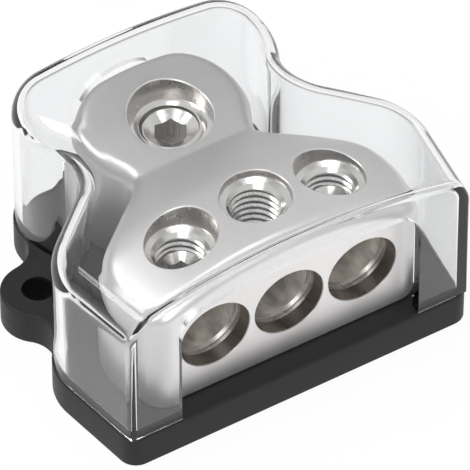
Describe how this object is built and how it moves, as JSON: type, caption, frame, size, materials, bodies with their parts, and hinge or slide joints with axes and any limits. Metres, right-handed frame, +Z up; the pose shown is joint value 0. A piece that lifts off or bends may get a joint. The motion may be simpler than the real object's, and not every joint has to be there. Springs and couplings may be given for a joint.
{
  "type": "power distribution block",
  "caption": "Unfused power distribution block: a large cable enters behind, smaller ones leave in front, held by set screws under a clear lift-off cover on an eared base.",
  "frame": {"origin": "middle of the base's underside", "axes": "+Z up out of the base, -Y the way the small output cables leave, +Y the way the large input cable leaves"},
  "size_m": [0.0678, 0.056, 0.0352],
  "materials": {
    "black_plastic": "matte black moulded plastic",
    "satin_nickel": "satin nickel plate",
    "plated_screw": "nickel plated",
    "zinc_screw": "zinc plated",
    "clear_plastic": "clear moulded plastic"
  },
  "bodies": {
    "base": {"base": "black_plastic", "terminal_block": "satin_nickel", "hold_screw_left": "zinc_screw", "hold_screw_right": "zinc_screw"},
    "cover": {"cover": "clear_plastic"},
    "output_screw_left": {"output_screw_left": "plated_screw"},
    "output_screw_middle": {"output_screw_middle": "plated_screw"},
    "output_screw_right": {"output_screw_right": "plated_screw"},
    "input_screw": {"input_screw": "plated_screw"}
  },
  "joints": [
    {"name": "cover_lift", "type": "slide", "parent": "base", "child": "cover", "axis": [0, 0, 1], "range_m": [0, 0.04]},
    {"name": "output_screw_left_feed", "type": "slide", "parent": "base", "child": "output_screw_left", "axis": [0, 0, 1], "range_m": [-0.001, 0.006]},
    {"name": "output_screw_middle_feed", "type": "slide", "parent": "base", "child": "output_screw_middle", "axis": [0, 0, 1], "range_m": [-0.0004, 0.0072]},
    {"name": "output_screw_right_feed", "type": "slide", "parent": "base", "child": "output_screw_right", "axis": [0, 0, 1], "range_m": [-0.001, 0.006]},
    {"name": "input_screw_feed", "type": "slide", "parent": "base", "child": "input_screw", "axis": [0, 0, 1], "range_m": [-0.002, 0.007]}
  ]
}
